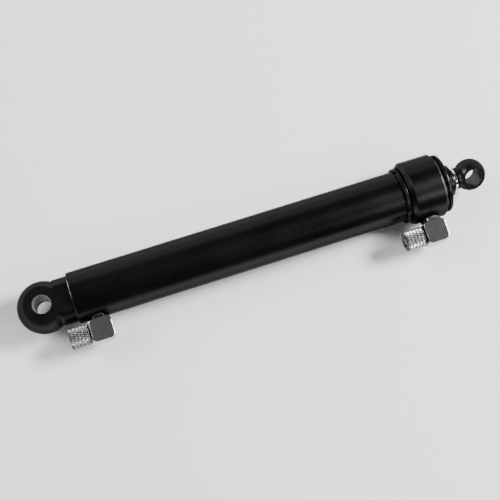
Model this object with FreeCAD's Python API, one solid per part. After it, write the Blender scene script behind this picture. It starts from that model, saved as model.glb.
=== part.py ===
"""Two-stage, double-acting telescopic hydraulic cylinder for scale-model machinery.

A black tube with a ball-shaped eye screwed into its rear end, a collar and a flanged gland at its front end,
one hollow stage and one rod that slide out of it, and a swivelling elbow with a knurled hose nut at each port.

Units are millimetres. +X runs along the cylinder from the rear pin to the front pin, the rear pin lies along Z,
and both ports point to -Y. The origin is the centre of the rear eye's bore.
"""

import FreeCAD, Part
import math
import os

V = FreeCAD.Vector

# ---------------------------------------------------------------- driving dimensions
TUBE_R = 8.0                      # barrel outside
BORE_R = 6.5                      # barrel inside
SLEEVE_R = 5.0                    # first stage outside
SLEEVE_BORE_R = 4.0               # first stage inside
ROD_R = 3.0                       # second stage
PIN_TO_PIN = 137.6                # between the two eye bores, fully closed
EYE_BORE_R = 2.75                 # both pins

FIT = 0.04                        # radial clearance of every sliding or turning fit
SCREWED = 0.03                    # radial clearance drawn between two screwed parts
EDGE = 0.25                       # ordinary broken edge

# rear eye
REAR_BALL_R = 8.0
REAR_FLAT = 5.8                   # half the eye's thickness
REAR_WAIST = (4.1, 6.95)          # place and radius of the groove behind the ball
REAR_NECK_R = 7.15
TUBE_START = 8.9
SPIGOT_END = 20.0

# front end of the barrel
LOCK_RING_START = 113.5
LOCK_RING_END = 115.0
LOCK_RING_R = 8.8
COLLAR_END = 126.0
COLLAR_R = 10.0
TUBE_END = 123.2
GLAND_THREAD_R = 7.3
WASHER_END = 126.3
WASHER_R = 9.25
FLANGE_GROOVE = 127.3             # end of the shallow groove between the washer and the gland's rim
FLANGE_GROOVE_R = 8.6
FLANGE_RIM = 128.3                # front of the gland's rim; the face inside it slopes up to FLANGE_END
FLANGE_END = 129.0
FLANGE_R = 9.2
GLAND_SEAL = (124.98, 126.0)      # pocket for the seal between collar and gland
STOP_SLEEVE_START = 105.6
STOP_SLEEVE_BORE_R = 5.5

# first stage
PISTON_1_START = 20.4
PISTON_1_END = 30.6
SLEEVE_START = 24.0
SLEEVE_END = 129.25
NOSE_SPIGOT_START = 112.0
NOSE_CONE_START = 130.8
NOSE_END = 131.75

# second stage
PISTON_2_START = 26.4
PISTON_2_END = 37.0
ROD_START = 28.6
ROD_END = 132.8
ROD_EYE_BALL_R = 5.0
ROD_EYE_FLAT = 3.4
ROD_EYE_NECK_R = 3.4
ROD_EYE_TURN = 37.0               # degrees that the front eye is turned from the rear one, as stored

# ports: place along X, and distance of the flat seat from the axis
PORTS = {"rear": (14.65, 7.15), "front": (120.6, 9.6)}
SEAT_R = 3.4
PORT_THREAD_R = 2.0
OIL_WAY_R = 0.9

# elbow fitting, in its own frame: z out of the port, x towards the hose
PORT_WASHER = 0.3
PORT_WASHER_R = 3.15
STEM_FLANGE = 0.8
STEM_HEXAGON = 5.6                # across flats
STEM_JOURNAL_R = 2.0
BLOCK = 7.0
BLOCK_FOOT = PORT_WASHER + STEM_FLANGE + 0.05
BLOCK_MID = BLOCK_FOOT + BLOCK / 2
BLOCK_CORNER = 1.4                # rounding of the block in plan
BLOCK_EDGE = 0.3                  # rounding round its top and bottom faces
STEM_TOP = BLOCK_FOOT + 4.6
NOSE_THREAD_R = 2.5
NOSE_THREAD_PITCH = 0.5
NOSE_LENGTH = 4.5
NUT_GAP = 0.3
NUT_LENGTH = 6.2
NUT_R = 3.15
HOSE_HOLE_R = 1.65
BARB_R = 1.0


# ---------------------------------------------------------------- helpers
def outline(corners):
    """Closed wire in the XZ plane. A corner is (x, r) or (x, r, rounding radius)."""
    points = [V(c[0], 0, c[1]) for c in corners]
    radii = [c[2] if len(c) > 2 else 0.0 for c in corners]
    count = len(points)
    stops = []
    for i in range(count):
        here = points[i]
        back = (points[i - 1] - here).normalize()
        ahead = (points[(i + 1) % count] - here).normalize()
        if radii[i] == 0:
            stops.append((here, None, here))
            continue
        half = back.getAngle(ahead) / 2
        reach = radii[i] / math.tan(half)
        bisector = (back + ahead).normalize()
        centre = here + bisector * (radii[i] / math.sin(half))
        stops.append((here + back * reach, centre - bisector * radii[i], here + ahead * reach))
    edges = []
    for i in range(count):
        start, middle, end = stops[i]
        if middle is not None:
            edges.append(Part.Arc(start, middle, end).toShape())
        following = stops[(i + 1) % count][0]
        if end.distanceToPoint(following) > 1e-7:
            edges.append(Part.LineSegment(end, following).toShape())
    return Part.Wire(edges)


def turned(corners):
    """Solid of revolution about the X axis."""
    face = Part.Face(outline(corners))
    return face.revolve(V(0, 0, 0), V(1, 0, 0), 360)


def ring(x0, x1, outer, inner, edge=0.0):
    """Plain ring about the X axis, with its four edges broken by a chamfer."""
    if edge == 0:
        return turned([(x0, inner), (x0, outer), (x1, outer), (x1, inner)])
    return turned([
        (x0, inner + edge), (x0, outer - edge), (x0 + edge, outer), (x1 - edge, outer),
        (x1, outer - edge), (x1, inner + edge), (x1 - edge, inner), (x0 + edge, inner),
    ])


def o_ring(x, inner, outer):
    """Round-section seal that fills the radial space from inner to outer."""
    section = (outer - inner) / 2
    return Part.makeTorus((inner + outer) / 2, section, V(x, 0, 0), V(1, 0, 0))


def rod_between(start, end, radius):
    """Cylinder from one point to another."""
    start, end = V(*start), V(*end)
    return Part.makeCylinder(radius, start.distanceToPoint(end), start, end - start)


def threaded(x0, x1, crest, pitch):
    """Corners of a thread drawn as V-shaped ring grooves, from x0 to x1, at the crest radius."""
    depth = 0.55 * pitch
    flat = pitch / 8
    corners = []
    for i in range(int((x1 - x0) / pitch + 1e-6)):
        x = x0 + i * pitch
        corners += [(x + flat, crest), (x + pitch / 2, crest - depth), (x + pitch - flat, crest)]
    return corners


def rolled(shape, degrees):
    """The same shape turned about the X axis."""
    turned_shape = shape.copy()
    turned_shape.rotate(V(0, 0, 0), V(1, 0, 0), degrees)
    return turned_shape


def save(name, shape):
    """Writes one node."""
    shape.exportStep("parts/" + name + ".step")


# ---------------------------------------------------------------- barrel and its rear eye
def port_cut(x, seat):
    """What a port takes out of the wall: a flat seat, and the hole for the stem."""
    spot = rod_between((x, -seat, 0), (x, -COLLAR_R - 1, 0), SEAT_R)
    hole = rod_between((x, -BORE_R + 1, 0), (x, -COLLAR_R - 1, 0), PORT_THREAD_R + SCREWED)
    return spot.fuse(hole)


def barrel_tube():
    tube = ring(TUBE_START, TUBE_END, TUBE_R, BORE_R, EDGE)
    for x, seat in PORTS.values():
        tube = tube.cut(rod_between((x, 0, 0), (x, -TUBE_R - 1, 0), PORT_THREAD_R + SCREWED))
    rear_x, rear_seat = PORTS["rear"]
    return tube.cut(port_cut(rear_x, rear_seat))


def rear_eye_cap():
    """Ball eye, neck and the threaded spigot inside the tube, all one turned piece."""
    ball = Part.makeSphere(REAR_BALL_R)
    groove = (17.4, 18.8, 5.5)                       # start, end, radius of the seal groove
    body = turned([
        (0, 0), (0, REAR_WAIST[1]), (REAR_WAIST[0], REAR_WAIST[1]), (REAR_WAIST[0] + 0.5, REAR_NECK_R, 0.3),
        (TUBE_START, REAR_NECK_R), (TUBE_START, BORE_R - 0.35), (TUBE_START + 1, BORE_R - 0.35),
        (TUBE_START + 1.3, BORE_R - SCREWED), (groove[0], BORE_R - SCREWED), (groove[0], groove[2]),
        (groove[1], groove[2]), (groove[1], BORE_R - SCREWED), (SPIGOT_END - EDGE, BORE_R - SCREWED),
        (SPIGOT_END, BORE_R - SCREWED - EDGE), (SPIGOT_END, 0),
    ])
    shape = ball.fuse(body)
    for floor in (REAR_FLAT, -REAR_FLAT - REAR_BALL_R):
        corner = V(TUBE_START - 3 * REAR_BALL_R, -2 * REAR_BALL_R, floor)
        shape = shape.cut(Part.makeBox(3 * REAR_BALL_R, 4 * REAR_BALL_R, REAR_BALL_R, corner))
    shape = shape.cut(rod_between((0, 0, -REAR_BALL_R), (0, 0, REAR_BALL_R), EYE_BORE_R))
    x = PORTS["rear"][0]
    shape = shape.cut(rod_between((x, -3.4, 0), (x, -BORE_R - 1, 0), PORT_THREAD_R + SCREWED))
    shape = shape.cut(rod_between((x, 0, 0), (x, -4, 0), OIL_WAY_R))
    shape = shape.cut(rod_between((x - OIL_WAY_R - 0.4, 0, 0), (SPIGOT_END + 1, 0, 0), 1.5))
    return shape.removeSplitter()


def front_collar():
    """Thick ring screwed over the tube's front end. It carries the front port and the gland."""
    seal_pocket = GLAND_SEAL[0]
    shape = turned([
        (LOCK_RING_END + 0.2, TUBE_R + SCREWED), (LOCK_RING_END + 0.2, TUBE_R + 1.0),
        (LOCK_RING_END + 1.35, COLLAR_R, 0.3), (COLLAR_END, COLLAR_R, 0.35),
        (COLLAR_END, TUBE_R), (seal_pocket, TUBE_R), (seal_pocket, GLAND_THREAD_R),
        (TUBE_END, GLAND_THREAD_R), (TUBE_END, TUBE_R + SCREWED),
    ])
    return shape.cut(port_cut(*PORTS["front"]))


def collar_lock_ring():
    """Slim ring nut behind the collar, with four spanner notches."""
    shape = turned([
        (LOCK_RING_START, TUBE_R + SCREWED), (LOCK_RING_START, LOCK_RING_R - 0.25),
        (LOCK_RING_START + 0.25, LOCK_RING_R), (LOCK_RING_END - 0.35, LOCK_RING_R, 0.2),
        (LOCK_RING_END, LOCK_RING_R - 0.45), (LOCK_RING_END + 0.2, LOCK_RING_R - 0.45),
        (LOCK_RING_END + 0.2, TUBE_R + SCREWED),
    ])
    for quarter in range(4):
        notch = Part.makeBox(0.6, 1.4, 1.0, V(LOCK_RING_START - 0.1, -0.7, LOCK_RING_R - 0.4))
        shape = shape.cut(rolled(notch, 45 + 90 * quarter))
    return shape


def front_stop_sleeve():
    """Spacer in the barrel that stops the first stage's piston short of the front port."""
    shape = ring(STOP_SLEEVE_START, TUBE_END, BORE_R - FIT, STOP_SLEEVE_BORE_R, 0.15)
    x = PORTS["front"][0]
    return shape.cut(rod_between((x, 0, 0), (x, -BORE_R - 1, 0), 1.3))


# ---------------------------------------------------------------- front gland and what it holds
SEAL_1 = (123.7, 124.9)           # rod seal groove in the gland, for the first stage
BUSH_1 = (125.2, 127.3)           # guide bush
WIPER_1 = (127.8, 129.2)          # wiper, with its lip standing proud of the flange


def front_gland():
    run = SLEEVE_R + FIT
    spigot = GLAND_THREAD_R - SCREWED
    neck = GLAND_THREAD_R - 0.35
    bush = SLEEVE_R + 0.7
    shape = turned([
        (TUBE_END + 0.1, run), (TUBE_END + 0.1, spigot - EDGE), (TUBE_END + 0.1 + EDGE, spigot),
        (GLAND_SEAL[0] - 0.1, spigot), (GLAND_SEAL[0] - 0.1, neck), (WASHER_END, neck), (WASHER_END, FLANGE_GROOVE_R),
        (FLANGE_GROOVE, FLANGE_GROOVE_R), (FLANGE_GROOVE, FLANGE_R, 0.1), (FLANGE_RIM, FLANGE_R, 0.6),
        (FLANGE_END, bush + 0.5, 0.1), (FLANGE_END, bush + 0.2),
        (WIPER_1[0], bush + 0.2), (WIPER_1[0], run + 0.1), (BUSH_1[1], run + 0.1), (BUSH_1[1], bush),
        (BUSH_1[0], bush), (BUSH_1[0], run), (SEAL_1[1], run), (SEAL_1[1], SLEEVE_R + 1.2),
        (SEAL_1[0], SLEEVE_R + 1.2), (SEAL_1[0], run),
    ])
    return shape


def gland_wiper(x0, x1, shaft, pocket):
    """Wiper ring whose outer face slopes up to a lip that touches the shaft."""
    step = (pocket - shaft) / 3
    return turned([
        (x0, shaft + FIT + step), (x0, pocket), (x1 - 0.5, pocket), (x1 - 0.35, pocket - 0.15),
        (x1, shaft + FIT + 0.16), (x1, shaft + FIT), (x1 - 0.35, shaft + FIT), (x1 - 0.9, shaft + FIT + step),
    ])


# ---------------------------------------------------------------- first stage
SEAL_P1 = (23.0, 24.6)            # piston seal groove
WEAR_P1 = (26.6, 29.2)            # wear ring groove
GROOVE_P1_R = 5.45
WEAR_GROOVE_R = 5.9


def stage_1_piston():
    """Piston screwed onto the sleeve's rear end. A hole through its face feeds the second stage."""
    outer = BORE_R - FIT
    return turned([
        (PISTON_1_START, 1.4), (PISTON_1_START, outer - 0.4), (PISTON_1_START + 0.4, outer),
        (SEAL_P1[0], outer), (SEAL_P1[0], GROOVE_P1_R), (SEAL_P1[1], GROOVE_P1_R), (SEAL_P1[1], outer),
        (WEAR_P1[0], outer), (WEAR_P1[0], WEAR_GROOVE_R), (WEAR_P1[1], WEAR_GROOVE_R), (WEAR_P1[1], outer),
        (PISTON_1_END - 0.3, outer), (PISTON_1_END, outer - 0.3), (PISTON_1_END, SLEEVE_R + SCREWED),
        (SLEEVE_START, SLEEVE_R + SCREWED), (SLEEVE_START, 3.0), (PISTON_1_START + 2, 3.0),
        (PISTON_1_START + 2, 1.4),
    ])


def piston_seal(place, bore, groove, edge):
    """Seal in a piston's groove, half the running clearance short of the bore that it slides in."""
    return ring(place[0] + 0.05, place[1] - 0.05, bore - FIT / 2, groove + FIT, edge)


def wear_ring():
    """Split guide ring on the first piston."""
    shape = ring(WEAR_P1[0] + 0.05, WEAR_P1[1] - 0.05, BORE_R - FIT / 2, WEAR_GROOVE_R + FIT, 0.1)
    split = Part.makeBox(4, 0.5, 3, V(WEAR_P1[0] - 0.5, -0.25, GROOVE_P1_R - 0.5))
    return shape.cut(split)


def stage_1_sleeve():
    """Hollow first stage, with four small holes that let the return oil through to the second stage."""
    shape = ring(SLEEVE_START, SLEEVE_END, SLEEVE_R, SLEEVE_BORE_R, 0.15)
    transfer_x = PISTON_2_END + 1.0
    for quarter in range(4):
        hole = rod_between((transfer_x, 0, 0), (transfer_x, 0, SLEEVE_R + 1), 0.5)
        shape = shape.cut(rolled(hole, 90 * quarter))
    return shape


NOSE_SEAL = (122.6, 123.8)
NOSE_WIPER = (130.55, 131.7)


def stage_1_nose():
    """Cone-shaped end cap screwed into the sleeve. It seals on the rod and is the rod's stop."""
    run = ROD_R + FIT
    spigot = SLEEVE_BORE_R - SCREWED
    return turned([
        (NOSE_SPIGOT_START, run), (NOSE_SPIGOT_START, spigot - 0.15), (NOSE_SPIGOT_START + 0.15, spigot),
        (SLEEVE_END, spigot), (SLEEVE_END, SLEEVE_R - 0.02), (NOSE_CONE_START, SLEEVE_R - 0.02, 0.15),
        (NOSE_END, ROD_R + 0.5), (NOSE_END, run + 0.3), (NOSE_WIPER[0], run + 0.3), (NOSE_WIPER[0], run),
        (NOSE_SEAL[1], run), (NOSE_SEAL[1], ROD_R + 0.62), (NOSE_SEAL[0], ROD_R + 0.62), (NOSE_SEAL[0], run),
    ])


# ---------------------------------------------------------------- second stage: rod, piston, front eye
SEAL_P2 = (31.8, 33.2)
GROOVE_P2_R = 3.2


def rod_piston():
    """Small piston screwed onto the rod's rear end."""
    outer = SLEEVE_BORE_R - FIT
    return turned([
        (ROD_START, 0.9), (ROD_START, outer - 0.35), (ROD_START + 0.35, outer), (SEAL_P2[0], outer),
        (SEAL_P2[0], GROOVE_P2_R), (SEAL_P2[1], GROOVE_P2_R), (SEAL_P2[1], outer), (PISTON_2_END - 0.3, outer),
        (PISTON_2_END, outer - 0.3), (PISTON_2_END, ROD_R + SCREWED), (PISTON_2_END - 1.5, ROD_R + SCREWED),
        (PISTON_2_END - 1.5, 1.55), (ROD_START + 1.0, 1.55), (ROD_START + 1.0, 0.9),
    ])


def rod_piston_screw():
    """Button-head screw with a hexagon socket, which clamps the piston to the rod."""
    head = turned([
        (PISTON_2_START, 0), (PISTON_2_START, 1.5, 0.4), (ROD_START, 1.9), (ROD_START, 0.85),
        (ROD_START + 8, 0.85), (ROD_START + 8.3, 0.5), (ROD_START + 8.3, 0),
    ])
    socket = hexagon(1.4, -PISTON_2_START - 1.1, -PISTON_2_START + 0.1)
    socket.rotate(V(0, 0, 0), V(0, 1, 0), -90)
    return head.cut(socket)


def piston_rod():
    """Chromed rod: a reduced end for the piston behind, a tapped hole for the eye in front."""
    stop = PISTON_2_END - 1.5
    return turned([
        (ROD_START + 1.0, 0.9), (ROD_START + 1.0, 1.5), (stop, 1.5), (stop, ROD_R), (ROD_END - 0.2, ROD_R),
        (ROD_END, ROD_R - 0.2), (ROD_END, 1.52), (ROD_END - 7.5, 1.52), (ROD_END - 7.5, 0),
        (ROD_START + 10, 0), (ROD_START + 10, 0.9),
    ])


def rod_eye():
    """Ball eye with a short neck and a threaded shank that screws into the rod."""
    x = PIN_TO_PIN
    ball = Part.makeSphere(ROD_EYE_BALL_R, V(x, 0, 0))
    shank = turned([
        (ROD_END - 7.0, 0), (ROD_END - 7.0, 1.2), (ROD_END - 6.7, 1.5), (ROD_END, 1.5),
        (ROD_END, ROD_EYE_NECK_R - 0.2), (ROD_END + 0.2, ROD_EYE_NECK_R), (x - 1, ROD_EYE_NECK_R), (x - 1, 0),
    ])
    shape = ball.fuse(shank)
    for floor in (ROD_EYE_FLAT, -ROD_EYE_FLAT - ROD_EYE_BALL_R):
        corner = V(x - ROD_EYE_BALL_R - 1, -ROD_EYE_BALL_R - 1, floor)
        width = 2 * ROD_EYE_BALL_R + 2
        shape = shape.cut(Part.makeBox(width, width, ROD_EYE_BALL_R, corner))
    shape = shape.cut(rod_between((x, 0, -8), (x, 0, 8), EYE_BORE_R))
    return rolled(shape.removeSplitter(), ROD_EYE_TURN)


# ---------------------------------------------------------------- elbow fittings
def placed_at_port(shape, port):
    """From the fitting's own frame to the cylinder's: z to -Y, and the hose side x to -X."""
    x, seat = PORTS[port]
    frame = FreeCAD.Matrix(-1, 0, 0, x, 0, 0, -1, -seat, 0, -1, 0, 0, 0, 0, 0, 1)
    return shape.transformed(frame, True)


def about_z(corners):
    """Solid of revolution about the fitting's z axis. A corner is (z, r) or (z, r, rounding)."""
    shape = turned(corners)
    shape.rotate(V(0, 0, 0), V(0, 1, 0), -90)
    return shape


def about_hose(corners):
    """Solid of revolution about the hose axis. A corner is (x, r) or (x, r, rounding)."""
    shape = turned(corners)
    shape.translate(V(0, 0, BLOCK_MID))
    return shape


def hexagon(across_flats, z0, z1):
    """Hexagonal prism about z."""
    radius = across_flats / math.sqrt(3)
    turns = [math.radians(60 * i) for i in range(7)]
    corners = [V(radius * math.cos(turn), radius * math.sin(turn), z0) for turn in turns]
    return Part.Face(Part.makePolygon(corners)).extrude(V(0, 0, z1 - z0))


STEM_O_RING = (BLOCK_FOOT + 0.9, BLOCK_FOOT + 1.7)
STEM_SNAP = (BLOCK_FOOT + 2.5, BLOCK_FOOT + 3.0)
STEM_GROOVE_R = 1.45


def port_stem(port):
    """Hollow stem: thread into the port, thin hexagon, and the journal that the block turns on."""
    thread_depth = {"rear": 3.6, "front": 2.6}[port]
    core = about_z([
        (-thread_depth, OIL_WAY_R), (-thread_depth, PORT_THREAD_R - 0.3), (-thread_depth + 0.3, PORT_THREAD_R),
        (0, PORT_THREAD_R), (PORT_WASHER, PORT_THREAD_R), (PORT_WASHER, 2.6), (PORT_WASHER + STEM_FLANGE, 2.6),
        (PORT_WASHER + STEM_FLANGE, STEM_JOURNAL_R), (STEM_O_RING[0], STEM_JOURNAL_R),
        (STEM_O_RING[0], STEM_GROOVE_R), (STEM_O_RING[1], STEM_GROOVE_R), (STEM_O_RING[1], STEM_JOURNAL_R),
        (STEM_SNAP[0], STEM_JOURNAL_R), (STEM_SNAP[0], STEM_GROOVE_R + 0.1),
        (STEM_SNAP[1], STEM_GROOVE_R + 0.1), (STEM_SNAP[1], STEM_JOURNAL_R),
        (STEM_TOP - 0.3, STEM_JOURNAL_R), (STEM_TOP, STEM_JOURNAL_R - 0.3), (STEM_TOP, OIL_WAY_R),
    ])
    rim = hexagon(STEM_HEXAGON, PORT_WASHER, PORT_WASHER + STEM_FLANGE)
    rim = rim.cut(Part.makeCylinder(2.2, 2))
    return placed_at_port(core.fuse(rim).removeSplitter(), port)


def stem_snap_ring():
    """Split wire ring, half in the stem's groove and half in the block's."""
    shape = about_z([
        (STEM_SNAP[0] + 0.03, STEM_GROOVE_R + 0.13), (STEM_SNAP[0] + 0.03, STEM_JOURNAL_R + 0.3),
        (STEM_SNAP[1] - 0.03, STEM_JOURNAL_R + 0.3), (STEM_SNAP[1] - 0.03, STEM_GROOVE_R + 0.13),
    ])
    return shape.cut(Part.makeBox(3, 0.8, 2, V(0, -0.4, STEM_SNAP[0] - 0.5)))


def elbow_block():
    """Cube with rounded corners, a blind bore that turns on the stem, and the threaded nose for the nut."""
    half = BLOCK / 2
    cube = Part.makeBox(BLOCK, BLOCK, BLOCK, V(-half, -half, BLOCK_FOOT))
    upright = [e for e in cube.Edges if abs(e.Vertexes[0].Point.x - e.Vertexes[1].Point.x) < 1e-6
               and abs(e.Vertexes[0].Point.z - e.Vertexes[1].Point.z) < 1e-6]
    cube = cube.makeFillet(BLOCK_CORNER, upright)
    rim = [e for f in cube.Faces for e in f.Edges
           if abs(abs(f.CenterOfMass.y) - half) < 1e-6]
    cube = cube.makeFillet(BLOCK_EDGE, rim)
    nose = about_hose(
        [(half - 1, 0), (half - 1, 2.0), (half + 0.5, 2.0)]
        + threaded(half + 0.5, half + NOSE_LENGTH, NOSE_THREAD_R, NOSE_THREAD_PITCH)
        + [(half + NOSE_LENGTH, NOSE_THREAD_R - 0.25), (half + NOSE_LENGTH, 0)]
    )
    shape = cube.fuse(nose)
    run = STEM_JOURNAL_R + FIT
    groove = STEM_JOURNAL_R + 0.36
    bore = about_z([
        (BLOCK_FOOT - 1, 0), (BLOCK_FOOT - 1, run), (STEM_SNAP[0] - 0.02, run), (STEM_SNAP[0] - 0.02, groove),
        (STEM_SNAP[1] + 0.02, groove), (STEM_SNAP[1] + 0.02, run), (STEM_TOP + 0.1, run), (STEM_TOP + 0.1, 0),
    ])
    shape = shape.cut(bore)
    shape = shape.cut(rod_between((0, 0, BLOCK_MID), (half + NOSE_LENGTH + 1, 0, BLOCK_MID), 0.6))
    seat = half + NOSE_LENGTH - 2.5
    return shape.cut(rod_between((seat, 0, BLOCK_MID), (half + NOSE_LENGTH + 1, 0, BLOCK_MID), 0.85))


def hose_barb():
    """Small ribbed tube pressed into the nose, which the hose is pushed over."""
    nose_end = BLOCK / 2 + NOSE_LENGTH
    tip = BLOCK / 2 + NUT_GAP + NUT_LENGTH - 0.15
    return about_hose([
        (nose_end - 2.45, 0.5), (nose_end - 2.45, 0.84), (nose_end, 0.84), (nose_end, BARB_R),
        (tip - 0.9, BARB_R - 0.08), (tip - 0.9, BARB_R + 0.12), (tip, BARB_R - 0.2), (tip, 0.5),
    ])


def ferrule():
    """Conical clamping ring between the nose and the nut."""
    start = BLOCK / 2 + NOSE_LENGTH + 0.05
    return about_hose([
        (start, 1.55), (start, 2.4), (start + 0.2, 2.4), (start + 0.85, 1.73), (start + 0.85, 1.55),
    ])


def knurled_nut():
    """Hose nut: plain envelope of the knurl, thread bore, cone that squeezes the ferrule, and the hose hole."""
    start = BLOCK / 2 + NUT_GAP
    end = start + NUT_LENGTH
    cone_start = BLOCK / 2 + NOSE_LENGTH + 0.2
    return about_hose([
        (start, NOSE_THREAD_R + FIT + 0.2), (start, NUT_R - 0.35), (start + 0.35, NUT_R), (end - 0.4, NUT_R),
        (end, NUT_R - 0.4), (end, HOSE_HOLE_R + 0.2), (end - 0.2, HOSE_HOLE_R), (cone_start + 0.9, HOSE_HOLE_R),
        (cone_start, NOSE_THREAD_R + FIT), (start + 0.2, NOSE_THREAD_R + FIT),
    ])


# ---------------------------------------------------------------- everything, one node at a time
def build():
    """Every node of the cylinder by name."""
    nodes = {
        "barrel_tube": barrel_tube(),
        "rear_eye_cap": rear_eye_cap(),
        "rear_cap_o_ring": o_ring(18.1, 5.52, BORE_R - 0.02),
        "front_collar": front_collar(),
        "collar_lock_ring": collar_lock_ring(),
        "front_stop_sleeve": front_stop_sleeve(),
        "gland_washer": ring(COLLAR_END, WASHER_END, WASHER_R, GLAND_THREAD_R, 0.08),
        "front_gland": front_gland(),
        "gland_o_ring": o_ring(sum(GLAND_SEAL) / 2, GLAND_THREAD_R - 0.33, TUBE_R - 0.02),
        "stage_1_rod_seal": ring(SEAL_1[0] + 0.05, SEAL_1[1] - 0.05, SLEEVE_R + 1.17, SLEEVE_R + FIT / 2, 0.2),
        "stage_1_guide_bush": ring(BUSH_1[0] + 0.01, BUSH_1[1] - 0.01, SLEEVE_R + 0.68, SLEEVE_R + 0.03, 0.1),
        "stage_1_wiper": gland_wiper(WIPER_1[0] + 0.01, WIPER_1[1], SLEEVE_R, SLEEVE_R + 0.88),
        "stage_1_piston_seal": piston_seal(SEAL_P1, BORE_R, GROOVE_P1_R, 0.3),
        "stage_1_wear_ring": wear_ring(),
        "stage_1_piston": stage_1_piston(),
        "stage_1_sleeve": stage_1_sleeve(),
        "stage_1_nose": stage_1_nose(),
        "rod_seal": ring(NOSE_SEAL[0] + 0.05, NOSE_SEAL[1] - 0.05, ROD_R + 0.6, ROD_R + FIT / 2, 0.12),
        "rod_wiper": gland_wiper(NOSE_WIPER[0] + 0.01, NOSE_WIPER[1], ROD_R, ROD_R + FIT + 0.28),
        "rod_piston_seal": piston_seal(SEAL_P2, SLEEVE_BORE_R, GROOVE_P2_R, 0.2),
        "rod_piston": rod_piston(),
        "rod_piston_screw": rod_piston_screw(),
        "piston_rod": piston_rod(),
        "rod_eye": rod_eye(),
    }
    hole = PORT_THREAD_R + 0.04
    washer = about_z([(0, hole), (0, PORT_WASHER_R), (PORT_WASHER, PORT_WASHER_R), (PORT_WASHER, hole)])
    middle = (STEM_JOURNAL_R + STEM_GROOVE_R) / 2
    section = (STEM_JOURNAL_R - STEM_GROOVE_R) / 2 - 0.01
    stem_seal = Part.makeTorus(middle, section, V(0, 0, sum(STEM_O_RING) / 2), V(0, 0, 1))
    for port in PORTS:
        nodes[port + "_port_stem"] = port_stem(port)
        fitting = {
            "_port_washer": washer,
            "_stem_o_ring": stem_seal,
            "_stem_snap_ring": stem_snap_ring(),
            "_elbow_block": elbow_block(),
            "_hose_barb": hose_barb(),
            "_ferrule": ferrule(),
            "_knurled_nut": knurled_nut(),
        }
        for name, shape in fitting.items():
            nodes[port + name] = placed_at_port(shape, port)
    return nodes


def main():
    os.makedirs("parts", exist_ok=True)
    for name, shape in build().items():
        save(name, shape)
        print("%-22s %9.2f mm3  valid %s  solids %d" % (name, shape.Volume, shape.isValid(), len(shape.Solids)))


main()
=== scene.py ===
"""Looks of the small telescopic hydraulic cylinder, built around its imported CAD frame.

Lengths are in metres, except where a name or a comment says millimetres. The nodes of the frame keep their
shapes and only get materials. The two knurled nuts are made here, because the CAD has their plain envelope.
"""
import math

import bmesh
import bpy
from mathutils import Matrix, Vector

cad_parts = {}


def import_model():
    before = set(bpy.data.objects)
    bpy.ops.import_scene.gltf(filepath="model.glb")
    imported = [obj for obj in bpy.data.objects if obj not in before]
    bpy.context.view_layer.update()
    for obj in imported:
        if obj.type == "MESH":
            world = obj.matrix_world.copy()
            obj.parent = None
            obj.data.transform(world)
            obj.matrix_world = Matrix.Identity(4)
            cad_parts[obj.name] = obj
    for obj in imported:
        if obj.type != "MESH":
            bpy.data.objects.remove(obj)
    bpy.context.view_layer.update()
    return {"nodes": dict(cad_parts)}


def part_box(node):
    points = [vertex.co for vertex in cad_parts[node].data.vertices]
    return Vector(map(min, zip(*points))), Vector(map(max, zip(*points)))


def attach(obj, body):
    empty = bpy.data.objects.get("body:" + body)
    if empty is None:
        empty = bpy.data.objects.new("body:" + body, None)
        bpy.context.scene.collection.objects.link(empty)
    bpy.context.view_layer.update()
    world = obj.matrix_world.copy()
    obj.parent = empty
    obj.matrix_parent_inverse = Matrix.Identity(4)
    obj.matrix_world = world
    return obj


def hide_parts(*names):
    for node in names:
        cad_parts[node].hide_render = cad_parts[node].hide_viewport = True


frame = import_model()
NODES = frame["nodes"]
ENDS = ("rear", "front")
MM = 0.001


def mm(*lengths):
    """Lengths in millimetres as metres."""
    return tuple(length * MM for length in lengths)


def middle_of(node):
    low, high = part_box(node)
    return (low + high) / 2


# ---------------------------------------------------------------- places taken from the frame
FLOOR_GAP = 0.00002
FLOOR_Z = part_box("front_collar")[0].z - FLOOR_GAP
TUBE_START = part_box("barrel_tube")[0].x / MM       # millimetres
PORTS = {end: middle_of(end + "_port_stem") for end in ENDS}
ROD_EYE_RADIUS = 0.005
ROD_EYE_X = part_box("rod_eye")[1].x - ROD_EYE_RADIUS    # the middle of the front eye's bore


# ---------------------------------------------------------------- node helpers
RISING = (0.0, 1.0)
FALLING = (1.0, 0.0)
METAL = 1.0


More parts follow.
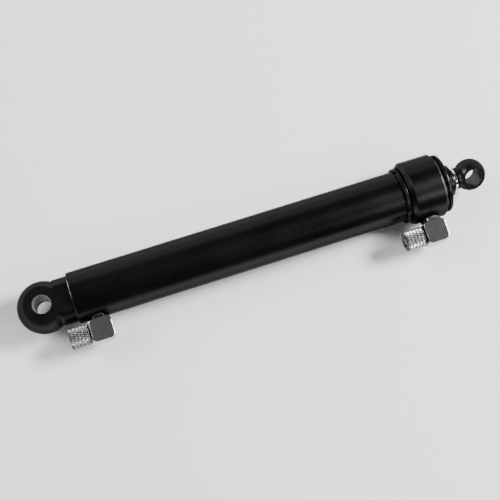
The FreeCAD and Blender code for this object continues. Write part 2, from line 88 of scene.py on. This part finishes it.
class Shader:
    """One node-based material: short calls for the nodes that it is made of."""

    def __init__(self, name):
        self.material = bpy.data.materials.new(name)
        self.material.use_nodes = True
        self.tree = self.material.node_tree
        self.surface = self.tree.nodes["Principled BSDF"]

    def node(self, kind, **settings):
        made = self.tree.nodes.new(kind)
        for key, value in settings.items():
            setattr(made, key, value)
        return made

    def put(self, socket, value):
        """A number, a colour or another node's output into a socket."""
        if isinstance(value, bpy.types.NodeSocket):
            self.tree.links.new(value, socket)
        else:
            socket.default_value = value

    def math(self, operation, *values):
        made = self.node("ShaderNodeMath", operation=operation)
        for socket, value in zip(made.inputs, values):
            self.put(socket, value)
        return made.outputs[0]

    def plus(self, a, b):
        return self.math("ADD", a, b)

    def times(self, a, b):
        return self.math("MULTIPLY", a, b)

    def radius(self, a, b):
        return self.math("SQRT", self.plus(self.times(a, a), self.times(b, b)))

    def place(self, centre=(0, 0, 0), turn=(0, 0, 0)):
        """The object's own coordinates in metres, measured from centre and turned back by turn."""
        coords = self.node("ShaderNodeTexCoord").outputs["Object"]
        moved = self.node("ShaderNodeVectorMath", operation="SUBTRACT")
        self.put(moved.inputs[0], coords)
        self.put(moved.inputs[1], centre)
        turned = self.node("ShaderNodeVectorRotate", rotation_type="EULER_XYZ", invert=True)
        self.put(turned.inputs["Vector"], moved.outputs[0])
        self.put(turned.inputs["Rotation"], turn)
        return turned.outputs[0]

    def split(self, vector):
        made = self.node("ShaderNodeSeparateXYZ")
        self.put(made.inputs[0], vector)
        return made.outputs

    def ramp(self, value, span, ends=RISING):
        """Smooth step from the first of ends to the second while value crosses span."""
        made = self.node("ShaderNodeMapRange", interpolation_type="SMOOTHSTEP")
        keys = ("Value", "From Min", "From Max", "To Min", "To Max")
        for key, number in zip(keys, (value, *span, *ends)):
            self.put(made.inputs[key], number)
        return made.outputs[0]

    def band(self, value, span, soft):
        """1 inside span, fading to 0 over the length soft on each side of it."""
        low, high = span
        rise = self.ramp(value, (low - soft, low))
        fall = self.ramp(value, (high, high + soft), FALLING)
        return self.times(rise, fall)

    def vary(self, noise, low, high):
        """From low to high over the values that a noise takes on most of a surface."""
        return self.ramp(noise, (0.3, 0.7), (low, high))

    def textured(self, made, scale, detail, rough):
        self.put(made.inputs["Scale"], scale)
        self.put(made.inputs["Detail"], detail)
        self.put(made.inputs["Roughness"], rough)
        return made.outputs["Fac"]

    def noise(self, vector, scale, detail=3.0, rough=0.55):
        """Noise in three dimensions, with about scale patches to the metre."""
        made = self.node("ShaderNodeTexNoise")
        self.put(made.inputs["Vector"], vector)
        return self.textured(made, scale, detail, rough)

    def stripes(self, along, scale):
        """Noise that varies with one length only."""
        made = self.node("ShaderNodeTexNoise", noise_dimensions="1D")
        self.put(made.inputs["W"], along)
        return self.textured(made, scale, detail=4.0, rough=0.65)

    def between(self, kind, factor, a, b):
        made = self.node("ShaderNodeMix", data_type=kind)
        for key, value in (("Factor", factor), ("A", a), ("B", b)):
            self.put(made.inputs[key], value)
        return made.outputs["Result"]

    def mix(self, factor, a, b):
        """Colour a where factor is 0 and colour b where it is 1."""
        return self.between("RGBA", factor, a, b)

    def blend(self, factor, a, b):
        """The same for two numbers."""
        return self.between("FLOAT", factor, a, b)

    def bump(self, height, depth):
        made = self.node("ShaderNodeBump")
        self.put(made.inputs["Strength"], 1.0)
        self.put(made.inputs["Distance"], depth)
        self.put(made.inputs["Height"], height)
        self.put(self.surface.inputs["Normal"], made.outputs[0])

    def bump_of_two(self, first, second, share, depth):
        """Bump from two heights. share is the first one's part of the whole."""
        self.bump(self.plus(self.times(first, share), self.times(second, 1.0 - share)), depth)

    def finish(self, colour, roughness, metallic=0.0, **constants):
        self.put(self.surface.inputs["Base Color"], colour)
        self.put(self.surface.inputs["Roughness"], roughness)
        self.put(self.surface.inputs["Metallic"], metallic)
        for key, value in constants.items():
            self.put(self.surface.inputs[key.replace("_", " ")], value)
        return self.material


def grey(value, warm=0.0):
    return (value * (1 + warm), value, value * (1 - warm), 1.0)


def turned_marks(shader, vector, fineness):
    """Rings left by the lathe about local X: one value that varies along and across, but not round."""
    x, y, z = shader.split(vector)
    return shader.stripes(shader.plus(x, shader.radius(y, z)), fineness)


def stained(shader, stain, clean, dull):
    """The clean colour with dull patches."""
    return shader.mix(shader.ramp(stain, (0.35, 0.7)), clean, dull)


# ---------------------------------------------------------------- black film over aluminium
FILM = 0.025                             # how much light the film sends back face on
FILM_TINT = (0.45, 0.45, 0.45, 1.0)      # how much of its shine is left at a grazing angle
BARE = (0.62, 0.62, 0.61, 1.0)           # aluminium where the film is rubbed through
FILM_GRAIN = 9000.0

# the tube's rear rim, in millimetres
RIM = (TUBE_START - 0.1, TUBE_START + 0.16)
RIM_FADE = 0.02
RIM_RADIUS = (7.55, 7.6)
HANDLED = (0.4, 2.6)                     # Y of the stretch round the rim that is rubbed most
HANDLED_FADE = 2.8
RIM_ROUGHNESS = 0.3

# the eyes, in millimetres
EYE_BORE = 2.75                          # radius
REAR_EYE_FLAT = 5.8                      # half the width across the faced flats
FRONT_EYE_FLAT = 3.4
REAR_BARE_FROM = -3.3                    # the rear bore is bare from here up; below it the black film is painted shade at the bore's lower end
FRONT_BARE_FROM = -10.0                  # below the front bore's end, so all of it counts
FRONT_EYE_TURN = 37                      # degrees about the long axis
BORE_ROUGHNESS = 0.42
REAR_BARENESS = (1.0, 1.0)               # least and most metal that shows in the bore
FRONT_BARENESS = (0.0, 0.06)


def rubbed_rim(shader, vector):
    """How far the film is rubbed off the tube's rear rim, mostly on the side that gets handled."""
    x, y, z = shader.split(vector)
    scuff = shader.noise(vector, scale=700.0, detail=5.0, rough=0.7)
    along = shader.band(x, mm(*RIM), RIM_FADE * MM)
    outside = shader.ramp(shader.radius(y, z), mm(*RIM_RADIUS))
    handled = shader.plus(shader.times(shader.band(y, mm(*HANDLED), HANDLED_FADE * MM), 0.9), 0.04)
    patchy = shader.ramp(scuff, (0.30, 0.60), (0.15, 1.0))
    return shader.times(shader.times(shader.times(along, outside), handled), patchy)


def black_anodised(name, rubbed_and_glint=False):
    """Black film over turned aluminium, on the tube with a rubbed rim."""
    shader = Shader(name)
    vector = shader.place()
    rings = turned_marks(shader, vector, fineness=5200.0)
    grain = shader.noise(vector, scale=FILM_GRAIN, detail=2.0)
    smudge = shader.noise(vector, scale=55.0, detail=4.0, rough=0.6)
    colour = shader.mix(smudge, grey(FILM * 0.85), grey(FILM * 1.15, 0.02))
    rough = shader.plus(shader.vary(smudge, 0.235, 0.285), shader.times(rings, 0.05))
    if rubbed_and_glint:
        worn = rubbed_rim(shader, vector)
        colour = shader.mix(worn, colour, BARE)
        rough = shader.blend(worn, rough, RIM_ROUGHNESS)
    shader.bump_of_two(rings, grain, share=0.7, depth=0.0000022)
    return shader.finish(colour, rough, METAL, Specular_Tint=FILM_TINT)


def eye_wear(shader, vector, bare_from, bareness):
    """How far the metal shows: inside the bore above bare_from, and in spots on the bore's lip."""
    x, y, z = shader.split(vector)
    radius = shader.radius(x, y)
    rub = shader.noise(vector, scale=900.0, detail=5.0, rough=0.7)
    inside = shader.ramp(radius, mm(EYE_BORE + 0.03, EYE_BORE + 0.06), FALLING)
    upper = shader.ramp(z, mm(bare_from - 0.15, bare_from + 0.15))
    bare = shader.times(shader.times(inside, upper), shader.ramp(rub, (0.30, 0.65), bareness))
    lip = shader.band(radius, mm(EYE_BORE + 0.06, EYE_BORE + 0.12), 0.03 * MM)
    spots = shader.ramp(rub, (0.45, 0.7), (0.0, 0.5))
    return shader.math("MAXIMUM", bare, shader.times(lip, spots))


def black_eye(name, flat, bare_from, bareness, centre=(0, 0, 0), turn=(0, 0, 0)):
    """Black ball eye: faced flats with rings round the bore, and lathe rings elsewhere."""
    shader = Shader(name)
    vector = shader.place(centre, turn)
    x, y, z = shader.split(vector)
    face_rings = shader.stripes(shader.radius(x, y), scale=4200.0)
    lathe_rings = turned_marks(shader, vector, fineness=4600.0)
    faced = shader.ramp(shader.math("ABSOLUTE", z), mm(flat - 0.03, flat - 0.01))
    marks = shader.blend(faced, lathe_rings, face_rings)
    grain = shader.noise(vector, scale=FILM_GRAIN, detail=2.0)
    smudge = shader.noise(vector, scale=120.0, detail=4.0, rough=0.6)
    worn = eye_wear(shader, vector, bare_from, bareness)
    colour = shader.mix(smudge, grey(FILM * 0.85), grey(FILM * 1.2))
    rough = shader.plus(shader.vary(smudge, 0.25, 0.31), shader.times(marks, 0.06))
    shader.bump_of_two(marks, grain, share=0.75, depth=0.000003)
    colour = shader.mix(worn, colour, BARE)
    rough = shader.blend(worn, rough, BORE_ROUGHNESS)
    return shader.finish(colour, rough, METAL, Specular_Tint=FILM_TINT)


# ---------------------------------------------------------------- bright and blackened metals
WASHER_GREY = (0.36, 0.37, 0.39, 1.0)
CHROME = (0.70, 0.71, 0.72, 1.0)
ALUMINIUM = (0.70, 0.70, 0.71, 1.0)
SCREW_STEEL = (0.50, 0.50, 0.50, 1.0)
BRONZE = (0.72, 0.50, 0.26, 1.0)
BARB_NICKEL = (0.66, 0.645, 0.62, 1.0)
POLISHED = ((0.82, 0.805, 0.78, 1.0), (0.75, 0.735, 0.71, 1.0))        # clean nickel, then stained
SATIN = ((0.66, 0.65, 0.63, 1.0), (0.57, 0.56, 0.54, 1.0))
KNURL_PLATE = ((0.64, 0.63, 0.60, 1.0), (0.54, 0.53, 0.50, 1.0))
# painted shade: the block's rim beside the nut, darkened as if in the nut's shadow
SHADED_RIM_BESIDE_NUT = (0.16, 0.155, 0.15, 1.0)
# painted shade: the threaded spigot seen in the gap between the nut and the block
SPIGOT_SHADE = (0.05, 0.047, 0.042, 1.0)
# painted shade at the bottoms of the knurl's grooves
KNURL_GROOVE_SHADE = (0.07, 0.067, 0.062, 1.0)
# darker colour on the nut's open end
NUT_MOUTH_DARKER = (0.10, 0.095, 0.09, 1.0)
BLACKENED_STEEL = 0.035
# bright stem corners: partly wear, partly a painted highlight
RUBBED_STEEL_AND_GLINT = (0.55, 0.54, 0.52, 1.0)

# places on the ports, in millimetres: on the block and stem from the port's axis, on the nut from its middle
BLOCK_FACE = (3.34, 3.44)                # |Z| where the polished faces begin
BLOCK_SHADED_RIM = (-3.35, -3.05)               # X of the rim beside the nut, painted dark as the nut's shade
BLOCK_SPIGOT = (-3.62, -3.52)            # X past which only the threaded spigot lies
HEXAGON_CORNER = (3.1, 3.2)              # radius of the stem's corners
NUT_MOUTH = (-3.08, -3.03)               # X of the nut's open end
GROOVE_SHADE_DEPTHS = (0.70, 0.20)               # where the painted groove shade is full and where it begins, as parts of the depth


def bright_metal(name, tint, smoothest, roughest):
    """Plated or ground metal with fine marks round local X and a few soft stains."""
    shader = Shader(name)
    vector = shader.place()
    rings = turned_marks(shader, vector, fineness=3500.0)
    stain = shader.noise(vector, scale=260.0, detail=4.0, rough=0.6)
    fine = shader.noise(vector, scale=6000.0)
    dull = tuple(channel * 0.88 for channel in tint[:3]) + (1.0,)
    rough = shader.plus(shader.vary(stain, smoothest, roughest), shader.times(rings, 0.05))
    shader.bump_of_two(rings, fine, share=0.5, depth=0.0000012)
    return shader.finish(stained(shader, stain, tint, dull), rough, METAL)


def plated_block(name, centre):
    """Bright nickel over milled brass: polished top and bottom, paler satin sides and rounded rims."""
    shader = Shader(name)
    vector = shader.place(centre)
    x, _, z = shader.split(vector)
    waves = shader.noise(vector, scale=420.0, detail=2.0, rough=0.4)
    stain = shader.noise(vector, scale=500.0, detail=4.0, rough=0.6)
    stretched = shader.node("ShaderNodeVectorMath", operation="MULTIPLY")
    shader.put(stretched.inputs[0], vector)
    shader.put(stretched.inputs[1], (600.0, 9000.0, 9000.0))
    wiped = shader.noise(stretched.outputs[0], scale=1.0, detail=4.0, rough=0.7)
    face = shader.ramp(shader.math("ABSOLUTE", z), mm(*BLOCK_FACE))
    colour = shader.mix(face, stained(shader, stain, *SATIN), stained(shader, stain, *POLISHED))
    # painted shade on the rim beside the nut
    colour = shader.mix(shader.ramp(x, mm(*BLOCK_SHADED_RIM), FALLING), colour, SHADED_RIM_BESIDE_NUT)
    # painted shade on the spigot in the gap between the nut and the block
    colour = shader.mix(shader.ramp(x, mm(*BLOCK_SPIGOT), FALLING), colour, SPIGOT_SHADE)
    rough = shader.plus(shader.blend(face, 0.40, 0.07), shader.times(wiped, 0.07))
    shader.bump_of_two(waves, wiped, share=0.8, depth=0.0000035)
    return shader.finish(colour, rough, METAL)


def port_steel(name, centre):
    """Blackened stem with a thin hexagon, whose corners are painted bright: partly wear, partly a painted
    highlight.
    """
    shader = Shader(name)
    vector = shader.place(centre)
    x, _, z = shader.split(vector)
    scuff = shader.noise(vector, scale=1500.0, detail=4.0, rough=0.65)
    # corners painted bright, partly as wear and partly as a painted highlight
    corner = shader.ramp(shader.radius(x, z), mm(*HEXAGON_CORNER))
    rubbed_and_glint = shader.times(corner, shader.ramp(scuff, (0.40, 0.55)))
    shader.bump(scuff, depth=0.000004)
    colour = shader.mix(rubbed_and_glint, grey(BLACKENED_STEEL), RUBBED_STEEL_AND_GLINT)
    return shader.finish(colour, shader.vary(scuff, 0.3, 0.42), METAL)


def knurl_nickel(name, centre, crest, depth):
    """Nickel over the knurl: bright crests, grooves darkened with painted shade by their depth, and a darker
    open end.
    """
    shader = Shader(name)
    vector = shader.place(centre)
    x, y, z = shader.split(vector)
    patch = shader.noise(vector, scale=520.0, detail=4.0, rough=0.6)
    low, high = (crest - part * depth for part in GROOVE_SHADE_DEPTHS)
    # painted shade: the deeper the groove, the darker its colour
    deep = shader.ramp(shader.radius(y, z), mm(low, high), FALLING)
    groove_shade = shader.times(deep, shader.ramp(patch, (0.3, 0.65), (0.85, 1.0)))
    colour = shader.mix(groove_shade, stained(shader, patch, *KNURL_PLATE), KNURL_GROOVE_SHADE)
    # the nut's open end is coloured darker
    colour = shader.mix(shader.ramp(x, mm(*NUT_MOUTH), FALLING), colour, NUT_MOUTH_DARKER)
    shader.bump(shader.noise(vector, scale=5200.0), depth=0.000003)
    return shader.finish(colour, shader.vary(patch, 0.24, 0.36), METAL)


# ---------------------------------------------------------------- seals
NITRILE = (0.012, 0.012, 0.012, 1.0)
POLYURETHANE = (0.03, 0.09, 0.24, 1.0)
FILLED_PTFE = (0.55, 0.52, 0.45, 1.0)
ROUGHNESS_SPREAD = 0.06


def soft_seal(name, colour, rough):
    """Rubber or plastic with a little pale dust."""
    shader = Shader(name)
    vector = shader.place()
    grain = shader.noise(vector, scale=4000.0)
    dust = shader.noise(vector, scale=700.0, detail=4.0, rough=0.6)
    dusty = tuple(min(1.0, channel * 1.5 + 0.01) for channel in colour[:3]) + (1.0,)
    shader.bump(grain, depth=0.000006)
    tone = shader.mix(shader.ramp(dust, (0.45, 0.75)), colour, dusty)
    rough = shader.vary(dust, rough - ROUGHNESS_SPREAD, rough + ROUGHNESS_SPREAD)
    return shader.finish(tone, rough)


# ---------------------------------------------------------------- who wears which material
def dress(material, *pieces):
    """Gives nodes of the frame their material."""
    for piece in pieces:
        slots = NODES[piece].data.materials
        slots.clear()
        slots.append(material)


def both(part):
    """The names of a part that each port has."""
    return [end + "_" + part for end in ENDS]


def dress_black_parts():
    dress(black_anodised("black_tube", rubbed_and_glint=True), "barrel_tube")
    dress(black_anodised("black_collar"), "front_collar")
    dress(black_anodised("black_lock_ring"), "collar_lock_ring")
    dress(black_anodised("black_gland"), "front_gland")
    dress(black_anodised("black_nose"), "stage_1_nose")
    dress(black_eye("rear_eye_black", REAR_EYE_FLAT, REAR_BARE_FROM, REAR_BARENESS), "rear_eye_cap")
    place = {"centre": (ROD_EYE_X, 0, 0), "turn": (math.radians(FRONT_EYE_TURN), 0, 0)}
    dress(black_eye("front_eye_black", FRONT_EYE_FLAT, FRONT_BARE_FROM, FRONT_BARENESS, **place), "rod_eye")


def dress_bright_parts():
    dress(bright_metal("polished_washer", WASHER_GREY, smoothest=0.25, roughest=0.36), "gland_washer")
    dress(bright_metal("hard_chrome", CHROME, smoothest=0.07, roughest=0.12), "piston_rod", "stage_1_sleeve")
    turned = bright_metal("turned_aluminium", ALUMINIUM, smoothest=0.28, roughest=0.4)
    dress(turned, "front_stop_sleeve", "stage_1_piston", "rod_piston")
    steel = bright_metal("screw_steel", SCREW_STEEL, smoothest=0.25, roughest=0.4)
    dress(steel, "rod_piston_screw", *both("stem_snap_ring"))
    bronze = bright_metal("bush_bronze", BRONZE, smoothest=0.25, roughest=0.4)
    dress(bronze, "stage_1_guide_bush", *both("ferrule"))
    dress(bright_metal("nickel_barb", BARB_NICKEL, smoothest=0.14, roughest=0.24), *both("hose_barb"))


def dress_seals():
    nitrile = soft_seal("nitrile", NITRILE, rough=0.5)
    dress(nitrile, "rear_cap_o_ring", "gland_o_ring", "stage_1_wiper", "rod_wiper")
    dress(nitrile, *both("stem_o_ring"), *both("port_washer"))
    polyurethane = soft_seal("polyurethane", POLYURETHANE, rough=0.4)
    dress(polyurethane, "stage_1_rod_seal", "stage_1_piston_seal", "rod_seal", "rod_piston_seal")
    dress(soft_seal("filled_ptfe", FILLED_PTFE, rough=0.5), "stage_1_wear_ring")


def dress_ports():
    for end, centre in PORTS.items():
        dress(port_steel(end + "_blackened_stem", centre), end + "_port_stem")
        block_centre = (centre.x, 0.0, centre.z)
        dress(plated_block(end + "_nickel_block", block_centre), end + "_elbow_block")


# ---------------------------------------------------------------- knurled hose nuts, in millimetres
TEETH = 26                               # grooves of each family round the nut
STEPS_PER_TOOTH = 10                     # mesh steps from one groove to the next
KNURL_DEPTH = 0.25
GROOVE_SHARE = 2 / 3                     # of each tooth's width, the rest is flat crest
AXIAL_PITCH = 2.1                        # length over which a groove leans by one tooth
AXIAL_STEP = 0.125                       # mesh step along the nut
BEVEL = 0.35
BEVEL_SLOPE = 0.85
HOSE_HOLE = 1.65                         # radii inside the nut
HOSE_LIP = 1.86
THREAD_BORE = 2.56
THREAD_MOUTH = 2.75
LIP_DEPTH = 0.2                          # places inside the nut, the last three from the block's end
MOUTH_DEPTH = 0.25
THREAD_END = 4.0
HOLE_START = 4.9


def groove(value):
    """1 at the bottom of a V groove and 0 on the crests, for a place counted in teeth."""
    near = abs((value % 1.0) - 0.5) * 2
    return max(0.0, 1.0 - near / GROOVE_SHARE)


def nut_profile(radius, length):
    """The nut's rings from the block's end over the outside and back through its bore.

    Each has its place along the nut, its radius and the depth of its knurl.
    """
    steps = round(length / AXIAL_STEP)
    outside = []
    for step in range(steps + 1):
        place = length * step / steps
        drop = max(0.0, BEVEL - place, place - (length - BEVEL)) * BEVEL_SLOPE
        outside.append((place, radius - drop, KNURL_DEPTH))
    bore = (
        (length, HOSE_LIP),
        (length - LIP_DEPTH, HOSE_HOLE),
        (HOLE_START, HOSE_HOLE),
        (THREAD_END, THREAD_BORE),
        (MOUTH_DEPTH, THREAD_BORE),
        (0.0, THREAD_MOUTH),
    )
    return outside + [(place, hole, 0.0) for place, hole in bore]


def nut_ring(mesh, axis_end, place, radius, depth):
    """One ring of points round the nut's axis, with both families of grooves cut in."""
    around = TEETH * STEPS_PER_TOOTH
    lean = place / AXIAL_PITCH
    ring = []
    for step in range(around):
        turn = step / around
        cut = max(groove(turn * TEETH + lean), groove(turn * TEETH - lean))
        reach = (radius - depth * cut) * MM
        angle = 2 * math.pi * turn
        across = Vector((-place * MM, reach * math.cos(angle), reach * math.sin(angle)))
        ring.append(mesh.verts.new(axis_end + across))
    return ring


def nut_mesh(name, axis_end, radius, length):
    """The nut as one closed surface that runs round its profile."""
    mesh = bmesh.new()
    rings = [nut_ring(mesh, axis_end, *row) for row in nut_profile(radius, length)]
    for ring, after in zip(rings, rings[1:] + rings[:1]):
        count = len(ring)
        for step in range(count):
            other = (step + 1) % count
            mesh.faces.new((ring[step], after[step], after[other], ring[other]))
    bmesh.ops.recalc_face_normals(mesh, faces=mesh.faces)
    data = bpy.data.meshes.new(name)
    mesh.to_mesh(data)
    mesh.free()
    return data


def knurled_nut(end):
    """Hose nut with a real diamond knurl, inside the plain envelope that the CAD gives it."""
    low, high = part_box(end + "_knurled_nut")
    radius = (high.z - low.z) / 2 / MM
    length = (high.x - low.x) / MM
    centre_y = (low.y + high.y) / 2
    data = nut_mesh(end + "_knurled_nut_visible", Vector((high.x, centre_y, 0.0)), radius, length)
    centre = Vector(((low.x + high.x) / 2, centre_y, 0.0))
    data.materials.append(knurl_nickel(end + "_knurl", centre, radius, KNURL_DEPTH))
    piece = bpy.data.objects.new(end + "_knurled_nut_visible", data)
    bpy.context.scene.collection.objects.link(piece)
    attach(piece, end + "_nut")
    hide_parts(end + "_knurled_nut")


# ---------------------------------------------------------------- floor, light and camera
FLOOR_HALF = 0.8
PAPER = ((0.85, 0.848, 0.84, 1.0), (0.87, 0.868, 0.86, 1.0))

OVERHEAD = 0.105                         # strength of the studio's light from above and the near side
SIDE_LIGHT = 1.0                         # strength low down on the far side
SIDE_GLOW = (44.0, 62.0)                 # degrees from straight up between which it rises
BACKDROP = 1.6                           # strength where the camera sees the studio itself
LIGHT_COLOUR = (0.99, 0.995, 1.0, 1.0)
BACKDROP_COLOUR = (1.0, 1.0, 0.995, 1.0)

AIM = Vector((0.065, 0.0, 0.0))          # the middle of the cylinder
LIGHTS = (
    # name, direction that it comes from, distance, length and height, watts
    ("key", (0.70, 0.00, 0.72), 0.8, (0.28, 0.24), 13.6),
    ("side", (0.66, -0.62, 0.72), 0.8, (0.36, 0.26), 2.6),
    ("streak", (0.52, -0.14, 0.80), 0.7, (0.14, 0.12), 0.12),
    ("fill", (-0.62, 0.36, 0.70), 0.8, (0.50, 0.30), 5.0),
)

CAMERA_PLACE = (0.025525, -0.062790, 0.322294)
CAMERA_TURN = (12.21, -3.12936, -18.4103)    # degrees about X, Y and Z
SENSOR_WIDTH = 36.0                          # millimetres, as is the focal length
FOCAL_LENGTH = 77.786
CLIP = (0.01, 20.0)


def floor():
    """Pale paper that the cylinder lies on."""
    signs = ((-1, -1), (1, -1), (1, 1), (-1, 1))
    corners = [(x * FLOOR_HALF, y * FLOOR_HALF, FLOOR_Z) for x, y in signs]
    data = bpy.data.meshes.new("floor")
    data.from_pydata(corners, [], [(0, 1, 2, 3)])
    shader = Shader("pale_paper")
    mottle = shader.noise(shader.place(), scale=30.0, detail=4.0, rough=0.6)
    data.materials.append(shader.finish(shader.mix(mottle, *PAPER), 0.9, Specular_IOR_Level=0.2))
    piece = bpy.data.objects.new("floor", data)
    bpy.context.scene.collection.objects.link(piece)


def studio_strength(tree):
    """The studio's strength by direction: dim overhead, brighter low down behind the cylinder."""
    coords = tree.nodes.new("ShaderNodeTexCoord")
    split = tree.nodes.new("ShaderNodeSeparateXYZ")
    tree.links.new(coords.outputs["Generated"], split.inputs[0])
    angle = tree.nodes.new("ShaderNodeMath")
    angle.operation = "ARCTAN2"
    tree.links.new(split.outputs["Y"], angle.inputs[0])
    tree.links.new(split.outputs["Z"], angle.inputs[1])
    ramp = tree.nodes.new("ShaderNodeMapRange")
    ramp.interpolation_type = "SMOOTHSTEP"
    ramp.inputs["From Min"].default_value = math.radians(SIDE_GLOW[0])
    ramp.inputs["From Max"].default_value = math.radians(SIDE_GLOW[1])
    ramp.inputs["To Min"].default_value = OVERHEAD
    ramp.inputs["To Max"].default_value = SIDE_LIGHT
    tree.links.new(angle.outputs[0], ramp.inputs["Value"])
    return ramp.outputs[0]


def world():
    """The studio round the cylinder, with an even pale backdrop where the camera sees it directly."""
    made = bpy.data.worlds.new("studio")
    bpy.context.scene.world = made
    made.use_nodes = True
    tree = made.node_tree
    tree.nodes.clear()
    lit = tree.nodes.new("ShaderNodeBackground")
    lit.inputs["Color"].default_value = LIGHT_COLOUR
    tree.links.new(studio_strength(tree), lit.inputs["Strength"])
    seen = tree.nodes.new("ShaderNodeBackground")
    seen.inputs["Color"].default_value = BACKDROP_COLOUR
    seen.inputs["Strength"].default_value = BACKDROP
    path = tree.nodes.new("ShaderNodeLightPath")
    mix = tree.nodes.new("ShaderNodeMixShader")
    tree.links.new(path.outputs["Is Camera Ray"], mix.inputs[0])
    tree.links.new(lit.outputs[0], mix.inputs[1])
    tree.links.new(seen.outputs[0], mix.inputs[2])
    out = tree.nodes.new("ShaderNodeOutputWorld")
    tree.links.new(mix.outputs[0], out.inputs["Surface"])


def area_light(name, direction, distance, size, power):
    """An oval soft light that shines at the middle of the cylinder."""
    data = bpy.data.lights.new(name, "AREA")
    data.shape = "ELLIPSE"
    data.size, data.size_y = size
    data.energy = power
    piece = bpy.data.objects.new(name, data)
    toward = Vector(direction).normalized()
    piece.location = AIM + toward * distance
    piece.rotation_mode = "QUATERNION"
    piece.rotation_quaternion = toward.to_track_quat("Z", "Y")
    bpy.context.scene.collection.objects.link(piece)


def camera():
    data = bpy.data.cameras.new("camera")
    data.sensor_width = SENSOR_WIDTH
    data.lens = FOCAL_LENGTH
    data.clip_start, data.clip_end = CLIP
    piece = bpy.data.objects.new("camera", data)
    piece.location = CAMERA_PLACE
    piece.rotation_euler = [math.radians(angle) for angle in CAMERA_TURN]
    bpy.context.scene.collection.objects.link(piece)
    bpy.context.scene.camera = piece


dress_black_parts()
dress_bright_parts()
dress_seals()
dress_ports()
for end in ENDS:
    knurled_nut(end)
floor()
world()
for light in LIGHTS:
    area_light(*light)
camera()
